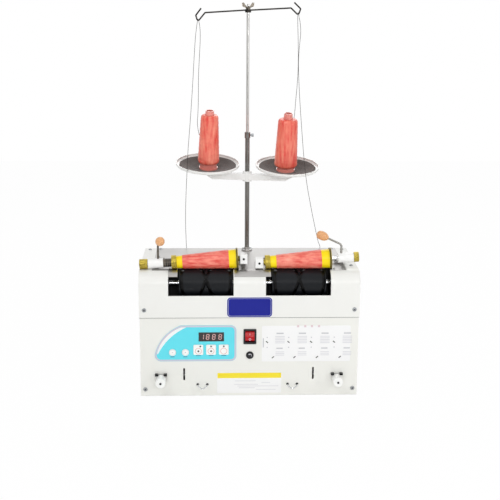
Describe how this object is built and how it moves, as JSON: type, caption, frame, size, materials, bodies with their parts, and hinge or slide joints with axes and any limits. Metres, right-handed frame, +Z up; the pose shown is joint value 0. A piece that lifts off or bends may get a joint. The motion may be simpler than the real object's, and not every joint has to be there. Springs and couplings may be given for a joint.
{
  "type": "yarn cone winder",
  "caption": "Bench machine that winds yarn from supply cones on a stand onto conical tubes pressed against grooved drums, with a keypad panel.",
  "frame": {"origin": "on the underside of the chassis floor, at the middle of the body", "axes": "+X to the right of a person facing the control panel, +Y to the back, +Z up along the thread stand"},
  "size_m": [0.55, 0.3757, 0.9765],
  "materials": {
    "cover_paint": "satin",
    "panel_paint": "satin",
    "top_steel": "brushed",
    "zinc_steel": "plain",
    "polished_steel": "polished",
    "dark_steel": "plain",
    "badge_blue": "satin",
    "label_white": "satin",
    "overlay_cyan": "satin",
    "button_white": "satin",
    "drum_black": "polished",
    "black_plastic": "satin",
    "switch_red": "polished",
    "yarn_coral": "wound",
    "tube_yellow": "satin",
    "tube_paper": "matt",
    "knob_wood": "oiled",
    "cup_brass": "satin",
    "rim_olive": "satin",
    "white_paint": "gloss",
    "pad_foam": "matt",
    "thread_grey": "matt",
    "belt_rubber": "matt",
    "board_green": "satin",
    "plate_grey": "satin"
  },
  "bodies": {
    "frame": {"badge": "badge_blue", "chassis": "panel_paint", "control_board": "board_green", "control_overlay": "overlay_cyan", "drive_belt": "belt_rubber", "drum_shroud": "black_plastic", "front_panel": "panel_paint", "housing_screws": "zinc_steel", "label_plates": "label_white", "left_thread": "thread_grey", "lower_tube": "dark_steel", "mains_inlet": "black_plastic", "motor": "dark_steel", "pivot_brackets": "top_steel", "rear_panel": "panel_paint", "right_thread": "thread_grey", "shaft_supports": "zinc_steel", "spool_arm": "white_paint", "spool_pads": "pad_foam", "spool_plates": "plate_grey", "supply_tubes": "tube_paper", "supply_yarns": "yarn_coral", "switch_and_fuse_bodies": "black_plastic", "top_plate": "top_steel", "upper_cover": "cover_paint", "yarn_guides": "black_plastic"},
    "drums": {"left_drum": "drum_black", "right_drum": "drum_black", "drum_shaft": "polished_steel"},
    "motor_shaft": {"motor_rotor": "zinc_steel"},
    "left_head": {"left_cradle": "white_paint"},
    "left_cone": {"left_cone_tube": "tube_yellow", "left_cone_yarn": "yarn_coral", "left_large_adapter": "rim_olive"},
    "left_clamp_lever": {"left_lever": "polished_steel", "left_lever_knob": "knob_wood"},
    "left_slide_shaft": {"left_quill": "polished_steel"},
    "left_end_cup": {"left_small_adapter": "cup_brass"},
    "right_head": {"right_cradle": "white_paint"},
    "right_cone": {"right_cone_tube": "tube_yellow", "right_cone_yarn": "yarn_coral", "right_small_adapter": "cup_brass"},
    "right_clamp_lever": {"right_lever": "polished_steel", "right_lever_knob": "knob_wood"},
    "right_slide_shaft": {"right_quill": "polished_steel"},
    "right_end_rim": {"right_large_adapter": "rim_olive"},
    "rocker": {"rocker_key": "switch_red"},
    "fuse_cap_body": {"fuse_cap": "black_plastic"},
    "left_tension": {"left_tension_knob": "button_white"},
    "right_tension": {"right_tension_knob": "button_white"},
    "left_feeler": {"left_stop_lever": "zinc_steel"},
    "right_feeler": {"right_stop_lever": "zinc_steel"},
    "guide_rod": {"thread_guide_rod": "polished_steel"},
    "wing": {"wing_nut": "polished_steel"},
    "clamp": {"clamp_screw": "polished_steel"},
    "round_key_1": {"round_button_1": "button_white"},
    "round_key_2": {"round_button_2": "button_white"},
    "square_key_1": {"square_button_1": "button_white"},
    "square_key_2": {"square_button_2": "button_white"},
    "square_key_3": {"square_button_3": "button_white"}
  },
  "joints": [
    {"name": "drum_spin", "type": "hinge", "parent": "frame", "child": "drums", "pos_m": [0, -0.102, 0.2849], "axis": [1, 0, 0], "continuous": true},
    {"name": "motor_spin", "type": "hinge", "parent": "frame", "child": "motor_shaft", "pos_m": [-0.232, 0.056, 0.062], "axis": [1, 0, 0], "continuous": true},
    {"name": "left_head_swing", "type": "hinge", "parent": "frame", "child": "left_head", "pos_m": [-0.1815, -0.039, 0.3278], "axis": [-1, 0, 0], "range_deg": [0, 50]},
    {"name": "left_cone_spin", "type": "hinge", "parent": "left_head", "child": "left_cone", "pos_m": [-0.11162, -0.102, 0.34162], "axis": [0.9983, 0, 0.0578], "continuous": true},
    {"name": "left_lever_turn", "type": "hinge", "parent": "left_head", "child": "left_clamp_lever", "pos_m": [-0.22791, -0.102, 0.34708], "axis": [0, 0, -1], "range_deg": [0, 90]},
    {"name": "left_shaft_slide", "type": "slide", "parent": "left_head", "child": "left_slide_shaft", "axis": [-0.9983, 0, -0.0578], "range_m": [0, 0.0065]},
    {"name": "left_end_cup_spin", "type": "hinge", "parent": "left_slide_shaft", "child": "left_end_cup", "pos_m": [-0.18949, -0.102, 0.33711], "axis": [0.9983, 0, 0.0578], "continuous": true},
    {"name": "right_head_swing", "type": "hinge", "parent": "frame", "child": "right_head", "pos_m": [0.052, -0.039, 0.3278], "axis": [-1, 0, 0], "range_deg": [0, 50]},
    {"name": "right_cone_spin", "type": "hinge", "parent": "right_head", "child": "right_cone", "pos_m": [0.12188, -0.102, 0.34162], "axis": [0.9983, 0, 0.0578], "continuous": true},
    {"name": "right_lever_turn", "type": "hinge", "parent": "right_head", "child": "right_clamp_lever", "pos_m": [0.23068, -0.102, 0.36012], "axis": [0, 0, 1], "range_deg": [0, 90]},
    {"name": "right_shaft_slide", "type": "slide", "parent": "right_head", "child": "right_slide_shaft", "axis": [0.9983, 0, 0.0578], "range_m": [0, 0.0065]},
    {"name": "right_end_rim_spin", "type": "hinge", "parent": "right_slide_shaft", "child": "right_end_rim", "pos_m": [0.20275, -0.102, 0.3463], "axis": [0.9983, 0, 0.0578], "continuous": true},
    {"name": "round_key_1_press", "type": "slide", "parent": "frame", "child": "round_key_1", "axis": [0, 1, 0], "range_m": [0, 0.001], "stiffness_N_per_m": 400},
    {"name": "round_key_2_press", "type": "slide", "parent": "frame", "child": "round_key_2", "axis": [0, 1, 0], "range_m": [0, 0.001], "stiffness_N_per_m": 400},
    {"name": "square_key_1_press", "type": "slide", "parent": "frame", "child": "square_key_1", "axis": [0, 1, 0], "range_m": [0, 0.001], "stiffness_N_per_m": 400},
    {"name": "square_key_2_press", "type": "slide", "parent": "frame", "child": "square_key_2", "axis": [0, 1, 0], "range_m": [0, 0.001], "stiffness_N_per_m": 400},
    {"name": "square_key_3_press", "type": "slide", "parent": "frame", "child": "square_key_3", "axis": [0, 1, 0], "range_m": [0, 0.001], "stiffness_N_per_m": 400},
    {"name": "rocker_tilt", "type": "hinge", "parent": "frame", "child": "rocker", "pos_m": [0.001, -0.1339, 0.1555], "axis": [1, 0, 0], "range_deg": [0, 8]},
    {"name": "fuse_cap_turn", "type": "hinge", "parent": "frame", "child": "fuse_cap_body", "pos_m": [0.001, -0.1429, 0.107], "axis": [0, 1, 0], "range_deg": [0, 90]},
    {"name": "left_tension_turn", "type": "hinge", "parent": "frame", "child": "left_tension", "pos_m": [-0.222, -0.1429, 0.0455], "axis": [0, 1, 0], "range_deg": [-180, 180]},
    {"name": "right_tension_turn", "type": "hinge", "parent": "frame", "child": "right_tension", "pos_m": [0.221, -0.1429, 0.0455], "axis": [0, 1, 0], "range_deg": [-180, 180]},
    {"name": "left_feeler_tilt", "type": "hinge", "parent": "frame", "child": "left_feeler", "pos_m": [-0.164, -0.1249, 0.0575], "axis": [1, 0, 0], "range_deg": [-10, 10], "stiffness_Nm_per_rad": 0.006},
    {"name": "right_feeler_tilt", "type": "hinge", "parent": "frame", "child": "right_feeler", "pos_m": [0.161, -0.1249, 0.0585], "axis": [1, 0, 0], "range_deg": [-10, 10], "stiffness_Nm_per_rad": 0.006},
    {"name": "guide_rod_slide", "type": "slide", "parent": "frame", "child": "guide_rod", "axis": [0, 0, 1], "range_m": [-0.15, 0], "deforming": ["left_thread", "right_thread"]},
    {"name": "wing_nut_turn", "type": "hinge", "parent": "guide_rod", "child": "wing", "pos_m": [0.001, 0.112, 0.957], "axis": [0, 0, 1], "range_deg": [0, 360]},
    {"name": "clamp_screw_turn", "type": "hinge", "parent": "frame", "child": "clamp", "pos_m": [0.001, 0.112, 0.633], "axis": [1, 0, 0], "range_deg": [0, 360]}
  ],
  "couplings": [
    {"joint": "motor_spin", "follows": "drum_spin", "ratio": 2},
    {"joint": "left_cone_spin", "follows": "drum_spin", "ratio": -1.7391},
    {"joint": "left_end_cup_spin", "follows": "drum_spin", "ratio": -1.7391},
    {"joint": "left_lever_turn", "follows": "left_shaft_slide", "rad_per_m": 241.66},
    {"joint": "right_cone_spin", "follows": "drum_spin", "ratio": -1.7391},
    {"joint": "right_end_rim_spin", "follows": "drum_spin", "ratio": -1.7391},
    {"joint": "right_lever_turn", "follows": "right_shaft_slide", "rad_per_m": 241.66}
  ]
}
